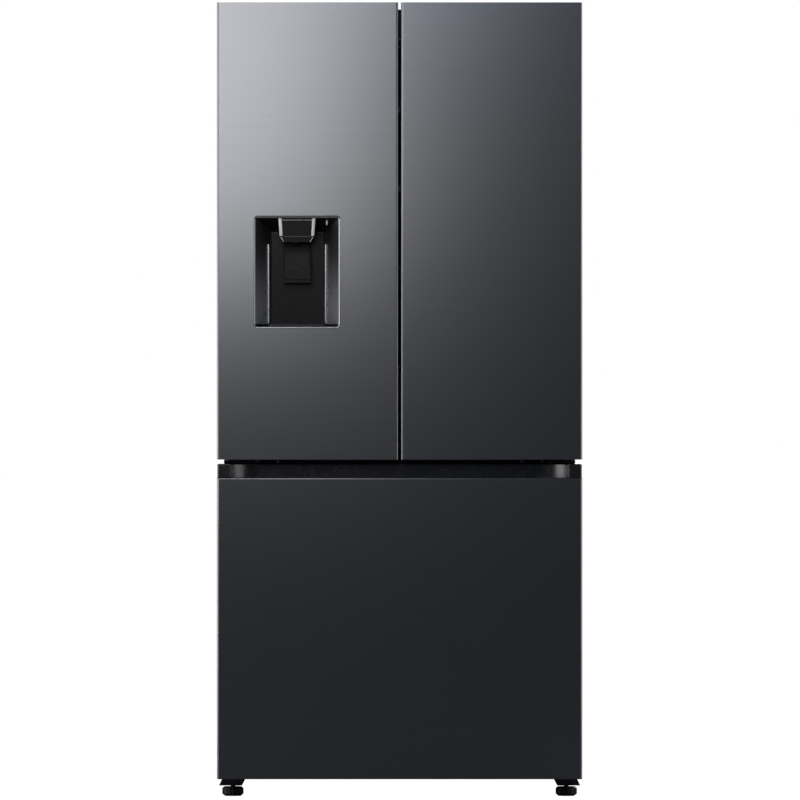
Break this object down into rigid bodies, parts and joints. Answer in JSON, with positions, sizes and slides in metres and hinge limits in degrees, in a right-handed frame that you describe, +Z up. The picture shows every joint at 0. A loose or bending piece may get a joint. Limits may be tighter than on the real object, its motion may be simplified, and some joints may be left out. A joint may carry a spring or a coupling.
{
  "type": "french door refrigerator",
  "caption": "Freestanding refrigerator with side-hinged upper doors, a recessed water dispenser in the left door, and a pull-out freezer drawer with a recessed top grip.",
  "frame": {"origin": "on the floor under the middle of the overall box", "axes": "+Z up, +X to the right seen from the front, +Y to the back; the doors face -Y"},
  "size_m": [0.817, 0.715, 1.779],
  "materials": {
    "case_steel": "satin dark grey paint",
    "back_steel": "bare galvanised sheet",
    "galvanised": "galvanised sheet",
    "foam": "closed-cell foam, matt",
    "white_liner": "glossy white",
    "dark_plastic": "fine texture",
    "zinc": "zinc plate",
    "black_metal": "black paint",
    "black_iron": "gloss black paint",
    "coil_steel": "dark coated steel",
    "coil_aluminium": "mill finish",
    "grey_plastic": "satin light grey",
    "white_plastic": "satin white",
    "shelf_glass": "clear, polished",
    "clear_plastic": "clear, glossy",
    "black_stainless": "black stainless, brushed across",
    "foamed_liner": "glossy white liner over foam",
    "seal": "soft grey seal",
    "satin_metal": "satin plated",
    "blue_plastic": "glossy",
    "black_rubberised": "satin black",
    "fan_plastic": "satin"
  },
  "bodies": {
    "cabinet": {"outer_case": "case_steel", "back_panel": "back_steel", "base_pan": "galvanised", "insulation": "foam", "fridge_liner": "white_liner", "freezer_liner": "white_liner", "top_cover": "dark_plastic", "door_hinges": "black_metal", "leg_brackets": "black_metal", "screws": "zinc", "compressor": "black_iron", "condenser": "coil_steel", "fan_shroud": "grey_plastic", "drain_pan": "dark_plastic", "machine_cover": "galvanised", "power_inlet": "dark_plastic", "fridge_duct": "grey_plastic", "freezer_duct": "white_plastic", "evaporator": "coil_aluminium", "ceiling_light": "white_plastic", "ceiling_console": "grey_plastic", "crisper_housing": "grey_plastic", "shelf_frames": "grey_plastic", "shelf_glass": "shelf_glass", "fixed_runners": "zinc"},
    "left_door": {"left_door_skin": "black_stainless", "left_inner_door": "foamed_liner", "left_door_liner": "foamed_liner", "left_door_caps": "dark_plastic", "left_door_gasket": "seal", "left_door_bins": "clear_plastic", "dispenser_frame": "satin_metal", "dispenser_housing": "dark_plastic", "dispenser_spout": "dark_plastic", "drip_tray": "dark_plastic", "water_tank": "clear_plastic"},
    "right_door": {"right_door_skin": "black_stainless", "right_inner_door": "foamed_liner", "right_door_caps": "dark_plastic", "right_door_gasket": "seal", "right_door_bins": "clear_plastic"},
    "freezer_drawer": {"freezer_door_skin": "black_stainless", "freezer_inner_door": "foamed_liner", "freezer_handle": "dark_plastic", "freezer_gasket": "seal", "freezer_basket": "white_plastic", "drawer_runners": "zinc"},
    "dispenser_lever_body": {"dispenser_lever": "dark_plastic"},
    "tank_lid_body": {"tank_lid": "blue_plastic"},
    "mullion_body": {"mullion": "dark_plastic"},
    "middle_runners_body": {"middle_runners": "zinc"},
    "upper_tray_body": {"upper_tray": "white_plastic"},
    "crisper_left_body": {"crisper_left": "clear_plastic"},
    "crisper_right_body": {"crisper_right": "clear_plastic"},
    "foot_left_body": {"foot_left": "black_rubberised"},
    "foot_right_body": {"foot_right": "black_rubberised"},
    "roller_left_body": {"roller_left": "black_rubberised"},
    "roller_right_body": {"roller_right": "black_rubberised"},
    "condenser_fan_body": {"condenser_fan": "fan_plastic"},
    "evaporator_fan_body": {"evaporator_fan": "fan_plastic"}
  },
  "joints": [
    {"name": "left_door_hinge", "type": "hinge", "parent": "cabinet", "child": "left_door", "pos_m": [-0.38, -0.305, 0.757], "axis": [0, 0, -1], "range_deg": [0, 120]},
    {"name": "right_door_hinge", "type": "hinge", "parent": "cabinet", "child": "right_door", "pos_m": [0.38, -0.305, 0.757], "axis": [0, 0, 1], "range_deg": [0, 120]},
    {"name": "freezer_slide", "type": "slide", "parent": "cabinet", "child": "freezer_drawer", "axis": [0, -1, 0], "range_m": [0, 0.45]},
    {"name": "middle_runner_slide", "type": "slide", "parent": "cabinet", "child": "middle_runners_body", "axis": [0, -1, 0], "range_m": [0, 0.225]},
    {"name": "upper_tray_slide", "type": "slide", "parent": "cabinet", "child": "upper_tray_body", "axis": [0, -1, 0], "range_m": [0, 0.3]},
    {"name": "crisper_left_slide", "type": "slide", "parent": "cabinet", "child": "crisper_left_body", "axis": [0, -1, 0], "range_m": [0, 0.25]},
    {"name": "crisper_right_slide", "type": "slide", "parent": "cabinet", "child": "crisper_right_body", "axis": [0, -1, 0], "range_m": [0, 0.25]},
    {"name": "mullion_hinge", "type": "hinge", "parent": "left_door", "child": "mullion_body", "pos_m": [-0.046, -0.243, 0.785], "axis": [0, 0, 1], "range_deg": [-90, 0]},
    {"name": "dispenser_lever_hinge", "type": "hinge", "parent": "left_door", "child": "dispenser_lever_body", "pos_m": [-0.2295, -0.2955, 1.245], "axis": [1, 0, 0], "range_deg": [0, 8], "stiffness_Nm_per_rad": 0.3, "springref_deg": -11.46},
    {"name": "tank_lid_hinge", "type": "hinge", "parent": "left_door", "child": "tank_lid_body", "pos_m": [-0.198, -0.26, 1.482], "axis": [1, 0, 0], "range_deg": [0, 90]},
    {"name": "foot_left_screw", "type": "hinge", "parent": "cabinet", "child": "foot_left_body", "pos_m": [-0.375, -0.225, 0.03], "axis": [0, 0, 1], "continuous": true},
    {"name": "foot_right_screw", "type": "hinge", "parent": "cabinet", "child": "foot_right_body", "pos_m": [0.375, -0.225, 0.03], "axis": [0, 0, 1], "continuous": true},
    {"name": "roller_left_axle", "type": "hinge", "parent": "cabinet", "child": "roller_left_body", "pos_m": [-0.375, 0.3, 0.02], "axis": [1, 0, 0], "continuous": true},
    {"name": "roller_right_axle", "type": "hinge", "parent": "cabinet", "child": "roller_right_body", "pos_m": [0.375, 0.3, 0.02], "axis": [1, 0, 0], "continuous": true},
    {"name": "condenser_fan_spin", "type": "hinge", "parent": "cabinet", "child": "condenser_fan_body", "pos_m": [-0.0235, 0.25, 0.17], "axis": [1, 0, 0], "continuous": true},
    {"name": "evaporator_fan_spin", "type": "hinge", "parent": "cabinet", "child": "evaporator_fan_body", "pos_m": [0, 0.2845, 0.64], "axis": [0, 1, 0], "continuous": true}
  ],
  "couplings": [
    {"joint": "middle_runner_slide", "follows": "freezer_slide", "ratio": 0.5},
    {"joint": "upper_tray_slide", "follows": "freezer_slide", "ratio": 0.666},
    {"joint": "crisper_left_slide", "follows": "left_door_hinge", "m_per_rad": 0.119},
    {"joint": "crisper_right_slide", "follows": "right_door_hinge", "m_per_rad": 0.119}
  ]
}
